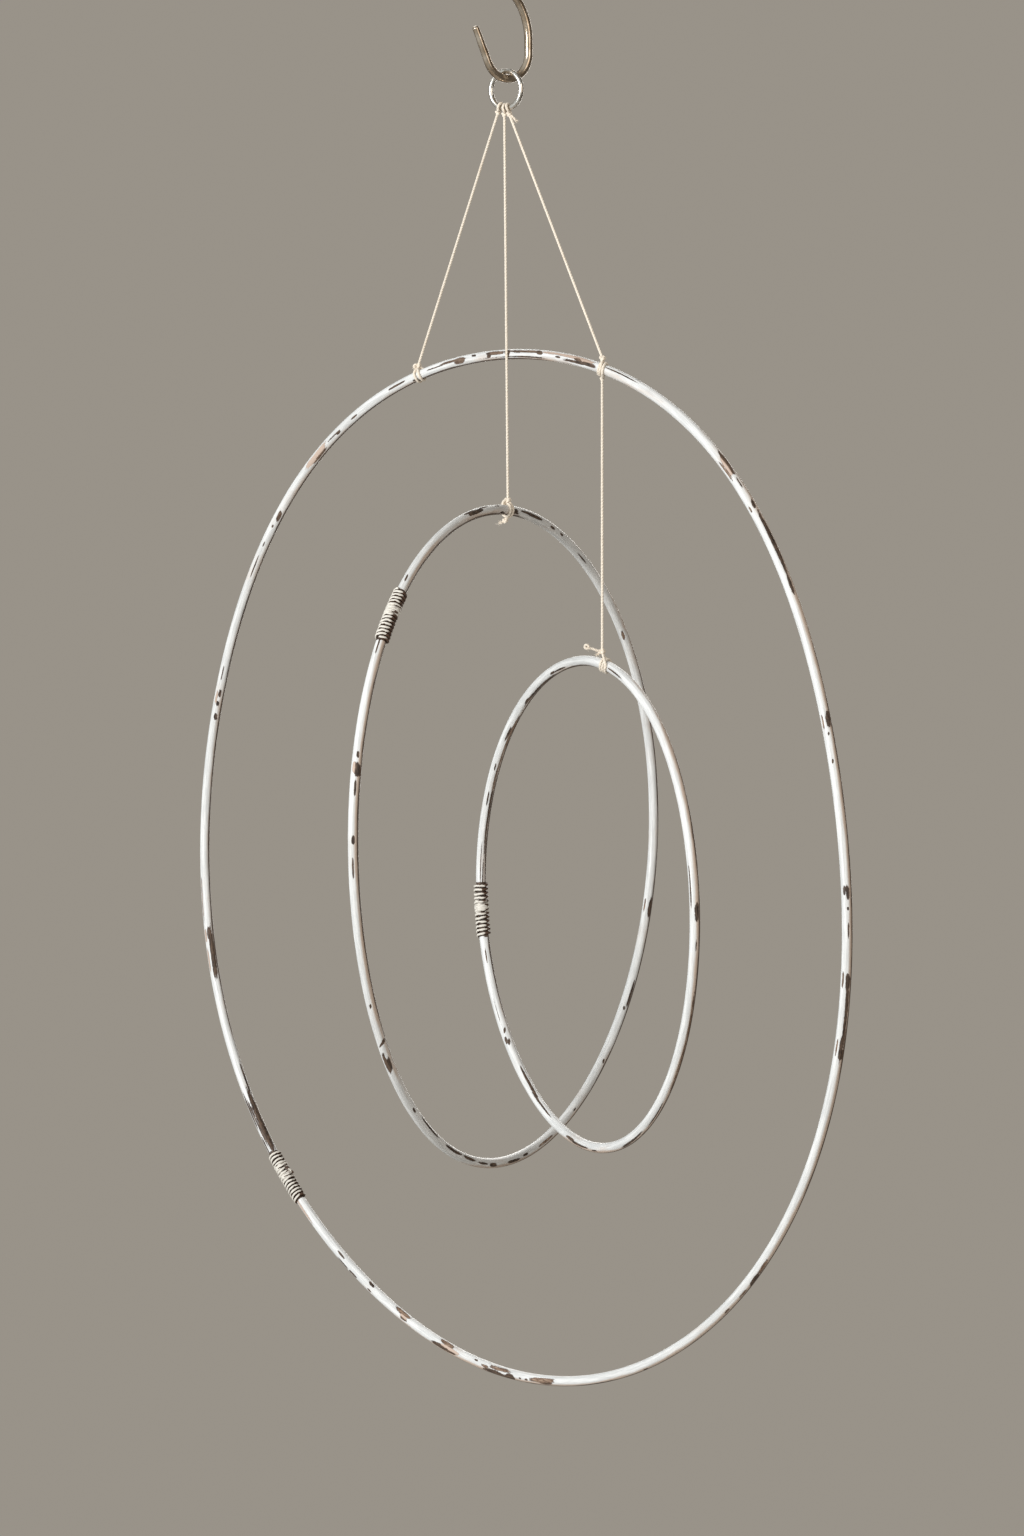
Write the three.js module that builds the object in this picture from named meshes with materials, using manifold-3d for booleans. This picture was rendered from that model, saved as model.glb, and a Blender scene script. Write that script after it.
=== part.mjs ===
// A hanging mobile: three hand-bent hoops of painted round rod, hung by cotton strings from a small
// steel ring on an S-hook. Each hoop's two ends meet under a close coil of binding wire.
// Millimetres, +Z up, +Y away from the viewer. The origin is the inside of the S-hook's upper bend,
// which is where the mobile is hung up.
import * as THREE from "three";
import { mergeVertices } from "three/addons/utils/BufferGeometryUtils.js";
import Module from "manifold-3d";

const wasm = await Module();
wasm.setup();

// ---- driving dimensions ----

const ROD = 6; // the hoops' round rod
const STRING = 1.5; // the twisted cotton string
const GAP = 0.3; // between pieces that touch

// A hoop hangs in an upright plane through its centre. turn is that plane's angle about Z, measured from
// +X. Hand bending leaves it a little out of round: each lobe is [how many round the hoop, height, the
// angle of one crest]. Angles round a hoop start at its right-hand side and run up over the top. The ends
// meet at jointAt, and the binding covers bound of the rod there.
const OUTER = {
  centre: new THREE.Vector3(1.2, 5.2, -577.5),
  radius: 308.5,
  turn: -51,
  lobes: [
    [2, 3, -50],
    [3, 4.2, -52],
    [4, 2, 44],
    [5, 1.6, -18],
  ],
  jointAt: 223,
  bound: 41,
  turns: 15,
  steps: 80,
};
const MIDDLE = {
  centre: new THREE.Vector3(1.5, 2, -558.2),
  radius: 196,
  turn: 62.7,
  lobes: [
    [2, 1.7, -39],
    [3, 3.3, 6],
  ],
  jointAt: 137.5,
  bound: 36.5,
  turns: 15,
  steps: 60,
};
const SMALL = {
  centre: new THREE.Vector3(47.2, -46, -595.6),
  radius: 143.4,
  turn: -64.4,
  lobes: [
    [2, 1.7, -52],
    [3, 2.2, 57],
  ],
  jointAt: 185.6,
  bound: 32.5,
  turns: 13,
  steps: 48,
};
const END_GAP = 0.6; // between a hoop's two ends, under the binding
const ROD_SIDES = 8;

const BINDING = { wire: 1.6, clear: 0.45, sides: 4, stepsPerTurn: 10 };

// The S-hook: each half is a bend with a straight flared tip and a long easy limb to the middle. The ring
// has settled a little to one side of the lower bend.
const HOOK = {
  wire: 5,
  turn: 35,
  bend: 15.3, // radius of the two end bends, to the wire's centre
  bendEnd: 156, // how far round the bend goes before the tip straightens
  tip: 23.1,
  upright: 8, // short straight between the bend and the limb
  limb: 38.55, // radius of the limb
  aside: 1.1, // from the ring to the middle of the lower bend
  sides: 8,
};
const RING = { across: 25.4, wire: 3.2, turn: -36, sides: 8, steps: 24 };

// Where each string is tied round the ring, as an angle from the ring's lowest point.
const RING_TIES = { left: -23.9, middle: -4.4, right: 9.4 };
const RING_KNOT = 1.5; // radius of a knot at the ring
const ROD_KNOT = 1.9; // radius of a knot at a rod
const KNOT_RISE = 6.2; // from the rod's centre to the knot's
const STRING_SIDES = 8;
const WRAP_STEP = 36; // degrees between points round a wrap
const WRAP_OPEN = 54; // degrees left open where the wraps run into their knot

// Each tie on a hoop: the angle round the hoop, the number of wraps, the rod they take up (minus winds the
// other way) and how far along the rod the knot sits. from is where the knot is round the rod: 0 on the
// hoop's outside, 180 on its inside.
const TIES = {
  outerLeft: { hoop: OUTER, at: 106.1, wraps: 2, width: 8, shift: 0, from: 0 },
  outerRight: { hoop: OUTER, at: 74, wraps: 2, width: -4.4, shift: 0, from: 0 },
  middle: { hoop: MIDDLE, at: 89.6, wraps: 2, width: -9, shift: 2.6, from: 0 },
  smallTop: { hoop: OUTER, at: 73.1, wraps: 1, width: 2, shift: 0.6, from: 180 },
  small: { hoop: SMALL, at: 80.8, wraps: 3, width: -10.5, shift: 2.7, from: 0 },
};

// ---- tools ----

const UP = new THREE.Vector3(0, 0, 1);
const rad = THREE.MathUtils.degToRad;
const heading = (degrees) =>
  new THREE.Vector3(Math.cos(rad(degrees)), Math.sin(rad(degrees)), 0);
// The sum of a point and any number of [vector, factor] pairs.
const along = (point, ...steps) =>
  steps.reduce((sum, [v, k]) => sum.addScaledVector(v, k), point.clone());

// A smooth curve whose steps fall on its own points, so that a straight run takes few of them.
class Route extends THREE.CatmullRomCurve3 {
  getUtoTmapping(u) {
    return u;
  }
}

function tube(points, diameter, sides) {
  const corner = (_, i) =>
    new THREE.Vector2(diameter / 2, 0).rotateAround(
      new THREE.Vector2(),
      (2 * Math.PI * i) / sides,
    );
  const section = new THREE.Shape(Array.from({ length: sides }, corner));
  return new THREE.ExtrudeGeometry(section, {
    extrudePath: new Route(points),
    steps: points.length - 1,
  });
}

// Joins closed geometries that overlap into one.
function fuse(...geometries) {
  const solids = geometries.map((geometry) => {
    const bare = new THREE.BufferGeometry().setAttribute(
      "position",
      (geometry.index ? geometry.toNonIndexed() : geometry).getAttribute(
        "position",
      ),
    );
    const merged = mergeVertices(bare, 1e-4);
    return new wasm.Manifold(
      new wasm.Mesh({
        numProp: 3,
        vertProperties: merged.attributes.position.array,
        triVerts: new Uint32Array(merged.index.array),
      }),
    );
  });
  const { vertProperties, triVerts } = solids
    .reduce((a, b) => a.add(b))
    .getMesh();
  return new THREE.BufferGeometry()
    .setAttribute("position", new THREE.BufferAttribute(vertProperties, 3))
    .setIndex(new THREE.BufferAttribute(triVerts, 1));
}

const knot = (centre, radius) =>
  new THREE.SphereGeometry(radius, 8, 6).translate(...centre.toArray());

const finish = {
  paint: { color: 0xc9c8c2, roughness: 0.45, metalness: 0.25 },
  steel: { color: 0x6b6459, roughness: 0.3, metalness: 1 },
  bright: { color: 0xb9b7b0, roughness: 0.25, metalness: 1 },
  cotton: { color: 0xe2d8c6, roughness: 0.9, metalness: 0 },
};

function piece(name, geometry, look) {
  const mesh = new THREE.Mesh(geometry, new THREE.MeshStandardMaterial(look));
  mesh.name = name;
  return mesh;
}

// ---- the hoops and their bindings ----

// The rod's centre at an angle round the hoop, the outward direction there, the direction along the rod
// and the direction square to the hoop's plane.
function rodAt(hoop, degrees) {
  const out = heading(hoop.turn)
    .multiplyScalar(Math.cos(rad(degrees)))
    .addScaledVector(UP, Math.sin(rad(degrees)));
  const side = heading(hoop.turn + 90);
  const radius = hoop.lobes.reduce(
    (sum, [count, height, crest]) =>
      sum + height * Math.cos(count * rad(degrees - crest)),
    hoop.radius,
  );
  const run = new THREE.Vector3().crossVectors(out, side);
  return { centre: along(hoop.centre, [out, radius]), out, run, side };
}

const degreesFor = (hoop, length) =>
  THREE.MathUtils.radToDeg(length / hoop.radius);

function hoopRod(hoop) {
  const start = hoop.jointAt + degreesFor(hoop, END_GAP / 2);
  const sweep = 360 - degreesFor(hoop, END_GAP);
  const points = Array.from(
    { length: hoop.steps + 1 },
    (_, i) => rodAt(hoop, start + (sweep * i) / hoop.steps).centre,
  );
  return tube(points, ROD, ROD_SIDES);
}

function binding(hoop) {
  const reach = ROD / 2 + BINDING.clear + BINDING.wire / 2;
  const steps = hoop.turns * BINDING.stepsPerTurn;
  const points = Array.from({ length: steps + 1 }, (_, i) => {
    const offset = hoop.bound * (i / steps - 0.5);
    const { centre, out, side } = rodAt(
      hoop,
      hoop.jointAt + degreesFor(hoop, offset),
    );
    const round = (2 * Math.PI * i) / BINDING.stepsPerTurn;
    return along(
      centre,
      [out, reach * Math.cos(round)],
      [side, reach * Math.sin(round)],
    );
  });
  return tube(points, BINDING.wire, BINDING.sides);
}

// ---- the hook and the ring ----

// The limb crosses the hook's middle halfway between its two bends. lean is how far it has leaned there.
const HOOK_LEAN = Math.acos(1 - (HOOK.bend + HOOK.aside / 2) / HOOK.limb);
const HOOK_MIDDLE = new THREE.Vector2(
  HOOK.aside / 2,
  HOOK.bend + HOOK.upright + HOOK.limb * Math.sin(HOOK_LEAN),
);
const HOOK_BOTTOM = HOOK.wire / 2 - 2 * HOOK_MIDDLE.y; // height of the wire's centre in the lower bend

function hookWire() {
  const bendPoint = (degrees, more) =>
    new THREE.Vector2(HOOK.bend, -more)
      .rotateAround(new THREE.Vector2(), rad(degrees))
      .add(new THREE.Vector2(HOOK.aside, HOOK.bend));
  const lower = [
    bendPoint(-HOOK.bendEnd, HOOK.tip),
    bendPoint(-HOOK.bendEnd, HOOK.tip / 2),
  ];
  for (let i = 0; i <= 8; i++) {
    lower.push(bendPoint(-HOOK.bendEnd * (1 - i / 8), 0));
  }
  for (let i = 0; i < 4; i++) {
    const lean = (HOOK_LEAN * i) / 4;
    const x = HOOK.aside + HOOK.bend - HOOK.limb * (1 - Math.cos(lean));
    const z = HOOK.bend + HOOK.upright + HOOK.limb * Math.sin(lean);
    lower.push(new THREE.Vector2(x, z));
  }
  const upper = lower
    .map((point) => point.clone().rotateAround(HOOK_MIDDLE, Math.PI))
    .reverse();
  const across = heading(HOOK.turn);
  const points = [...lower, HOOK_MIDDLE, ...upper].map(({ x, y }) =>
    along(new THREE.Vector3(0, 0, HOOK_BOTTOM), [across, x], [UP, y]),
  );
  return tube(points, HOOK.wire, HOOK.sides);
}

// The ring rests on the inside of the lower bend, where that passes under the axis.
const SEAT =
  HOOK_BOTTOM +
  HOOK.bend -
  Math.sqrt((HOOK.bend - HOOK.wire / 2) ** 2 - HOOK.aside ** 2);
const RING_RADIUS = (RING.across - RING.wire) / 2;
const RING_CENTRE = new THREE.Vector3(
  0,
  0,
  SEAT + GAP + RING.wire / 2 - RING_RADIUS,
);

const ring = () =>
  new THREE.TorusGeometry(RING_RADIUS, RING.wire / 2, RING.sides, RING.steps)
    .rotateX(Math.PI / 2)
    .rotateZ(rad(RING.turn))
    .translate(...RING_CENTRE.toArray());

// The ring's wire at an angle from its lowest point, with directions as for a rod.
function ringAt(degrees) {
  const out = heading(RING.turn)
    .multiplyScalar(Math.sin(rad(degrees)))
    .addScaledVector(UP, -Math.cos(rad(degrees)));
  const side = heading(RING.turn + 90);
  const run = new THREE.Vector3().crossVectors(side, out);
  return { centre: along(RING_CENTRE, [out, RING_RADIUS]), out, run, side };
}

// ---- the strings ----

// One loop round the ring with its knot below.
function ringTie(degrees) {
  const { centre, out, run, side } = ringAt(degrees);
  const reach = (RING.wire + STRING) / 2 + GAP;
  const loop = new THREE.TorusGeometry(reach, STRING / 2, STRING_SIDES, 12);
  loop.applyMatrix4(
    new THREE.Matrix4().makeBasis(side, out, run).setPosition(centre),
  );
  const end = along(centre, [out, reach + RING_KNOT / 2]);
  return { end, solids: [loop, knot(end, RING_KNOT)] };
}

// The wraps round a hoop's rod and the knot that they start and end in. The far side is wrapped first.
function rodTie({ hoop, at, wraps, width, shift, from }) {
  const reach = (ROD + STRING) / 2 + GAP;
  const around = (degrees, length, radius) => {
    const { centre, out, side } = rodAt(hoop, at + degreesFor(hoop, length));
    return along(
      centre,
      [out, radius * Math.cos(rad(from + degrees))],
      [side, radius * Math.sin(rad(from + degrees))],
    );
  };
  const sweep = 360 * wraps;
  const apart = Math.sign(width) * 0.55 * STRING; // the wraps' two ends lie side by side in the knot
  const points = [around(0, shift - apart, KNOT_RISE)];
  for (let a = WRAP_OPEN; a <= sweep - WRAP_OPEN; a += WRAP_STEP)
    points.push(around(a, width * (a / sweep - 0.5), reach));
  points.push(around(0, shift + apart, KNOT_RISE));
  const end = around(0, shift, KNOT_RISE);
  return {
    end,
    solids: [tube(points, STRING, STRING_SIDES), knot(end, ROD_KNOT)],
  };
}

// A string between two ties.
const string = (upper, lower) =>
  fuse(
    tube([upper.end, lower.end], STRING, STRING_SIDES),
    ...upper.solids,
    ...lower.solids,
  );

// ---- the mobile ----

const mobile = new THREE.Group();
mobile.add(
  piece("s_hook", hookWire(), finish.steel),
  piece("hanging_ring", ring(), finish.bright),
);
for (const [name, upper, lower] of [
  ["left_string", ringTie(RING_TIES.left), TIES.outerLeft],
  ["middle_string", ringTie(RING_TIES.middle), TIES.middle],
  ["right_string", ringTie(RING_TIES.right), TIES.outerRight],
  ["small_hoop_string", rodTie(TIES.smallTop), TIES.small],
]) {
  mobile.add(piece(name, string(upper, rodTie(lower)), finish.cotton));
}
for (const [size, hoop] of Object.entries({
  outer: OUTER,
  middle: MIDDLE,
  small: SMALL,
})) {
  mobile.add(
    piece(`${size}_hoop`, hoopRod(hoop), finish.paint),
    piece(`${size}_binding`, binding(hoop), finish.paint),
  );
}

export default mobile;
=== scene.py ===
"""Looks for the hanging mobile: painted bent-rod hoops, wound joints, cotton strings, a ring and an S-hook.

Metres, +Z up, +Y away from the viewer, with the origin inside the hook's upper bend. Hoops, bindings and
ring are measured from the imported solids, so they follow them.
"""
import math
import bpy
import numpy as np
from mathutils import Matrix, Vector


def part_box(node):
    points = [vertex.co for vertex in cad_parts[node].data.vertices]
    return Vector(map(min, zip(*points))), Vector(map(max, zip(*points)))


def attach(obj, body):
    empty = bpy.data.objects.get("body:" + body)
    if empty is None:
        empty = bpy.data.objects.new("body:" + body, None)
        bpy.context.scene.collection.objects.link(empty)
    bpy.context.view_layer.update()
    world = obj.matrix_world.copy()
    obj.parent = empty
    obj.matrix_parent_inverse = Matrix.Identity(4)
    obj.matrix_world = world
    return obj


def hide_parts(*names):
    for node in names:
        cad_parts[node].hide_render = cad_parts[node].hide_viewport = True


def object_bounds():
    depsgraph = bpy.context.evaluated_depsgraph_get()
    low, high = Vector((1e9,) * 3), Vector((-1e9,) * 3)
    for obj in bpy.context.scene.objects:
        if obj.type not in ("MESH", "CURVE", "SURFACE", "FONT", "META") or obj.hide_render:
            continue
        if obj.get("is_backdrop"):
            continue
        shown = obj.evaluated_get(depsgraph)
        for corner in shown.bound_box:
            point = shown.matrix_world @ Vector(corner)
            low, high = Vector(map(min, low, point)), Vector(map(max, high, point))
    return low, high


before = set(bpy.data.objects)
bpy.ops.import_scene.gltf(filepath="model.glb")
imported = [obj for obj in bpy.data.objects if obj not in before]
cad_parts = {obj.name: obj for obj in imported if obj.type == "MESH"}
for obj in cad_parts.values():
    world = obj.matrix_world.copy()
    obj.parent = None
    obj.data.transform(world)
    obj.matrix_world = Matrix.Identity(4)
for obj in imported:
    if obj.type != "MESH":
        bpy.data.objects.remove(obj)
cad_low, cad_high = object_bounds()

MM = 0.001
TURN = 2 * math.pi

# ---- sizes that the solids share ----

ROD = 6 * MM
STRING = 1.5 * MM
GAP = 0.3 * MM
RING_WIRE = 3.2 * MM
HOOK_WIRE = 5 * MM
HOOK_TURN = 35
HOOK_BEND = 15.3 * MM
HOOK_BEND_END = 156
HOOK_TIP = 23.1 * MM
HOOK_UPRIGHT = 8 * MM
HOOK_LIMB = 38.55 * MM
HOOK_ASIDE = 1.1 * MM

# ---- finer sizes ----

ROD_STEP = 0.8 * MM
ROD_SIDES = 36
WIRE_SIDES = 10
PLIES = 3
PLY = 0.54 * MM  # radius of one of the string's plies
PLY_SIDES = 8
FIBRE_SIDES = 3
LAY_RADIUS = 0.29 * MM  # from the string's middle to a ply's
LAY = 5.6 * MM  # length of string that a ply takes to go round once
BINDING_WIRE = 0.78 * MM
BINDING_REACH = ROD / 2 + 0.75 * MM  # from the rod's middle to the wire's
TINY = 1e-9  # keeps a direction's length from being zero
SHORTEST = 1e-6  # the smallest gap between two points of a smooth line
CURVE_POINTS = 24  # between two points of a smooth line, before it is evened out


# ---- camera ----

CAMERA_AIM = Vector((3.6 * MM, 0, cad_low.z + 0.3697))
CAMERA_AWAY = 3.5
CAMERA_DIP = math.radians(3)


def make_camera():
    """Looks along +Y from well back and a little down."""
    data = bpy.data.cameras.new("camera")
    data.sensor_width = 36
    data.lens = 136.7
    data.clip_end = 100
    camera = bpy.data.objects.new("camera", data)
    camera.location = CAMERA_AIM + CAMERA_AWAY * Vector((0, -math.cos(CAMERA_DIP), math.sin(CAMERA_DIP)))
    camera.rotation_euler = (math.pi / 2 - CAMERA_DIP, 0, 0)
    bpy.context.collection.objects.link(camera)
    bpy.context.scene.camera = camera


make_camera()


# ---- node trees ----

class Recipe:
    """Writes one node tree: add() makes a node, sets it up and plugs its inputs."""

    def __init__(self, tree):
        self.tree = tree

    def add(self, kind, plugs=None, **settings):
        node = self.tree.nodes.new(kind)
        for name, value in settings.items():
            setattr(node, name, value)
        for key, value in (plugs or {}).items():
            self.plug(node, key, value)
        return node

    def plug(self, node, key, value):
        socket = node.inputs[key]
        if isinstance(value, bpy.types.Node):
            value = value.outputs[0]
        if isinstance(value, bpy.types.NodeSocket):
            self.tree.links.new(value, socket)
        else:
            socket.default_value = value

    def maths(self, operation, *values, clamp=False):
        plugs = dict(enumerate(values))
        return self.add("ShaderNodeMath", plugs, operation=operation, use_clamp=clamp)

    def vectors(self, operation, first, second=None, factor=None):
        node = self.add("ShaderNodeVectorMath", operation=operation)
        self.plug(node, 0, first)
        if second is not None:
            self.plug(node, 1, second)
        if factor is not None:
            self.plug(node, "Scale", factor)
        return node

    def noise(self, where, scale, detail=2.0, roughness=0.5, seed=0.0):
        plugs = {"Vector": where, "W": seed, "Scale": scale, "Detail": detail, "Roughness": roughness}
        return self.add("ShaderNodeTexNoise", plugs, noise_dimensions="4D")

    def step(self, value, low, high, out_low=0.0, out_high=1.0):
        plugs = {"Value": value, "From Min": low, "From Max": high, "To Min": out_low, "To Max": out_high}
        return self.add("ShaderNodeMapRange", plugs, interpolation_type="SMOOTHSTEP")

    def mix(self, share, first, second):
        node = self.add("ShaderNodeMix", data_type="RGBA")
        for socket, value in ((0, share), (6, first), (7, second)):
            self.plug(node, socket, value)
        return node.outputs[2]


def new_tree(name, sizes):
    """A geometry tree: a shape goes in with its named sizes and finish, and a solid comes out."""
    tree = bpy.data.node_groups.new(name, "GeometryNodeTree")
    tree.interface.new_socket("Shape", in_out="INPUT", socket_type="NodeSocketGeometry")
    for label, kind in sizes.items():
        tree.interface.new_socket(label, in_out="INPUT", socket_type="NodeSocket" + kind)
    tree.interface.new_socket("Finish", in_out="INPUT", socket_type="NodeSocketMaterial")
    tree.interface.new_socket("Solid", in_out="OUTPUT", socket_type="NodeSocketGeometry")
    recipe = Recipe(tree)
    given = recipe.add("NodeGroupInput").outputs
    return recipe, given


def close_tree(recipe, given, shape):
    """Smooth shading, no instances left, and the finish on it."""
    smooth = recipe.add("GeometryNodeSetShadeSmooth", {"Geometry": shape})
    real = recipe.add("GeometryNodeRealizeInstances", {"Geometry": smooth})
    done = recipe.add("GeometryNodeSetMaterial", {"Geometry": real, "Material": given["Finish"]})
    recipe.add("NodeGroupOutput", {0: done})
    return recipe.tree


def sweep(recipe, line, radius, sides):
    """A round bar along a curve, scaled along it by the points' own girth."""
    girth = named(recipe, "girth", "FLOAT")
    sized = recipe.add("GeometryNodeSetCurveRadius", {"Curve": line, "Radius": girth})
    circle = recipe.add("GeometryNodeCurvePrimitiveCircle", {"Resolution": sides, "Radius": radius})
    bar = recipe.add("GeometryNodeCurveToMesh", {"Curve": sized, "Profile Curve": circle, "Fill Caps": True})
    if "Scale" in bar.inputs:
        recipe.plug(bar, "Scale", girth)
    return bar


def named(recipe, name, kind):
    """The output of a named attribute of that kind."""
    node = recipe.add("GeometryNodeInputNamedAttribute", {"Name": name}, data_type=kind)
    wanted = {"FLOAT": "VALUE", "FLOAT_VECTOR": "VECTOR"}[kind]
    return next(out for out in node.outputs if out.name == "Attribute" and out.type == wanted)


def bar_tree():
    """A bar that follows a line: rods, the hook, the ring and single fibres."""
    recipe, given = new_tree("Bar along a line", {"Radius": "Float", "Sides": "Int"})
    line = recipe.add("GeometryNodeMeshToCurve", {"Mesh": given["Shape"]})
    return close_tree(recipe, given, sweep(recipe, line, given["Radius"], given["Sides"]))


def coil_tree():
    """Wire wound round a rod. The rod's line carries its two cross directions, out and side."""
    sizes = {"Turns": "Float", "Reach": "Float", "Wire radius": "Float", "Steps a turn": "Int"}
    sizes |= {"Unevenness": "Float", "Seed": "Float"}
    recipe, given = new_tree("Wire wound round a rod", sizes)
    line = recipe.add("GeometryNodeMeshToCurve", {"Mesh": given["Shape"]})
    count = recipe.maths("MULTIPLY", given["Turns"], given["Steps a turn"])
    fine = recipe.add("GeometryNodeResampleCurve", {"Curve": line, "Count": count})
    share = recipe.add("GeometryNodeSplineParameter").outputs["Factor"]
    turned = recipe.maths("MULTIPLY", share, given["Turns"])
    angle = recipe.maths("MULTIPLY", turned, TURN)
    wobble = recipe.add("ShaderNodeTexNoise", {"W": recipe.maths("ADD", turned, given["Seed"])},
                        noise_dimensions="1D")
    wander = recipe.maths("SUBTRACT", wobble, 0.5)
    rise = recipe.maths("MULTIPLY_ADD", wander, recipe.maths("MULTIPLY", given["Unevenness"], 0.35),
                        given["Reach"])
    out = recipe.vectors("SCALE", named(recipe, "out", "FLOAT_VECTOR"),
                         factor=recipe.maths("MULTIPLY", recipe.maths("COSINE", angle), rise))
    side = recipe.vectors("SCALE", named(recipe, "side", "FLOAT_VECTOR"),
                          factor=recipe.maths("MULTIPLY", recipe.maths("SINE", angle), rise))
    stray = recipe.vectors("SCALE", recipe.add("GeometryNodeInputTangent"),
                           factor=recipe.maths("MULTIPLY", wander, given["Unevenness"]))
    offset = recipe.vectors("ADD", recipe.vectors("ADD", out, side), stray)
    wound = recipe.add("GeometryNodeSetPosition", {"Geometry": fine, "Offset": offset})
    return close_tree(recipe, given, sweep(recipe, wound, given["Wire radius"], WIRE_SIDES))


def string_tree():
    """Plies laid round each other along a line."""
    sizes = {"Plies": "Int", "Ply radius": "Float", "Lay radius": "Float", "Lay": "Float", "Step": "Float"}
    recipe, given = new_tree("Laid string", sizes)
    line = recipe.add("GeometryNodeMeshToCurve", {"Mesh": given["Shape"]})
    fine = recipe.add("GeometryNodeResampleCurve", {"Curve": line, "Length": given["Step"]}, mode="LENGTH")
    copies = recipe.add("GeometryNodeDuplicateElements", {"Geometry": fine, "Amount": given["Plies"]},
                        domain="SPLINE")
    length = recipe.add("GeometryNodeSplineParameter").outputs["Length"]
    reached = recipe.maths("DIVIDE", length, given["Lay"])
    first = recipe.maths("DIVIDE", copies.outputs["Duplicate Index"], given["Plies"])
    angle = recipe.maths("MULTIPLY", recipe.maths("ADD", reached, first), TURN)
    normal = recipe.add("GeometryNodeInputNormal")
    across = recipe.vectors("CROSS_PRODUCT", recipe.add("GeometryNodeInputTangent"), normal)
    out = recipe.maths("MULTIPLY", recipe.maths("COSINE", angle), given["Lay radius"])
    aside = recipe.maths("MULTIPLY", recipe.maths("SINE", angle), given["Lay radius"])
    offset = recipe.vectors(
        "ADD",
        recipe.vectors("SCALE", normal, factor=out),
        recipe.vectors("SCALE", across, factor=aside),
    )
    laid = recipe.add("GeometryNodeSetPosition", {"Geometry": copies, "Offset": offset})
    return close_tree(recipe, given, sweep(recipe, laid, given["Ply radius"], PLY_SIDES))


def fuzz_tree():
    """Short loose fibres all over a string."""
    sizes = {"Fibres an area": "Float", "Fibre length": "Float", "Fibre radius": "Float", "Seed": "Int"}
    recipe, given = new_tree("Fuzz on a string", sizes)
    scatter = {"Mesh": given["Shape"], "Density": given["Fibres an area"], "Seed": given["Seed"]}
    roots = recipe.add("GeometryNodeDistributePointsOnFaces", scatter)
    bow = {"Start": (0, 0, 0), "Middle": (0.25, 0, 0.6), "End": (0.75, 0.1, 0.8), "Resolution": 4}
    hair = recipe.add("GeometryNodeCurveQuadraticBezier", bow)
    thin = recipe.maths("DIVIDE", given["Fibre radius"], given["Fibre length"])
    fibre = sweep(recipe, hair, thin, FIBRE_SIDES)
    size = recipe.add("FunctionNodeRandomValue", {2: 0.4, 3: 1.2, "Seed": given["Seed"]}, data_type="FLOAT")
    scale = recipe.maths("MULTIPLY", size.outputs[1], given["Fibre length"])
    placed = {"Points": roots, "Instance": fibre, "Rotation": roots.outputs["Rotation"], "Scale": scale}
    fibres = recipe.add("GeometryNodeInstanceOnPoints", placed)
    spin = recipe.add("FunctionNodeRandomValue", {2: 0.0, 3: TURN, "Seed": 7}, data_type="FLOAT")
    turn = recipe.add("ShaderNodeCombineXYZ", {"Z": spin.outputs[1]})
    spun = recipe.add("GeometryNodeRotateInstances", {"Instances": fibres, "Rotation": turn})
    both = recipe.add("GeometryNodeJoinGeometry", {"Geometry": given["Shape"]})
    recipe.tree.links.new(spun.outputs[0], both.inputs[0])
    return close_tree(recipe, given, both)


def grow(name, tree, shape, finish, **sizes):
    """The plain mesh object that a tree makes of a shape."""
    seed = bpy.data.objects.new(name, shape)
    bpy.context.collection.objects.link(seed)
    modifier = seed.modifiers.new(tree.name, "NODES")
    modifier.node_group = tree
    sockets = {item.name: item.identifier for item in tree.interface.items_tree if item.in_out == "INPUT"}
    modifier[sockets["Finish"]] = finish
    for label, value in sizes.items():
        modifier[sockets[label.replace("_", " ")]] = value
    made = bpy.data.meshes.new_from_object(seed.evaluated_get(bpy.context.evaluated_depsgraph_get()))
    seed.modifiers.remove(modifier)
    seed.data = made
    return seed


def put(mesh, name, values):
    """A named value at each of a mesh's points."""
    values = np.asarray(values, float)
    kind, field = ("FLOAT", "value") if values.ndim == 1 else ("FLOAT_VECTOR", "vector")
    mesh.attributes.new(name, kind, "POINT").data.foreach_set(field, values.ravel())


def points_of(mesh):
    """The places of a mesh's points, one row each."""
    places = np.empty(len(mesh.vertices) * 3)
    mesh.vertices.foreach_get("co", places)
    return places.reshape(-1, 3)


def lines(*routes, closed=False, **attributes):
    """A mesh of lines through the points of each route. An attribute gives one value for each point."""
    mesh = bpy.data.meshes.new("line")
    points = np.concatenate(routes)
    edges = []
    start = 0
    for route in routes:
        edges += [(start + i, start + i + 1) for i in range(len(route) - 1)]
        if closed:
            edges.append((start + len(route) - 1, start))
        start += len(route)
    mesh.from_pydata(points.tolist(), edges, [])
    attributes.setdefault("girth", np.ones(len(points)))
    for name, values in attributes.items():
        put(mesh, name, values)
    return mesh


BAR = bar_tree()
COIL = coil_tree()
LAID = string_tree()
FUZZ = fuzz_tree()


# ---- measured from the solids ----

def corners(node):
    return points_of(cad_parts[node].data)


def level_way(points, middle):
    """The level direction to the right in which a flat upright shape spreads."""
    flat = points[:, :2] - middle[:2]
    across = np.linalg.eigh(flat.T @ flat)[1][:, 1]
    across *= np.sign(across[0])
    return np.array([across[0], across[1], 0])


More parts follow.
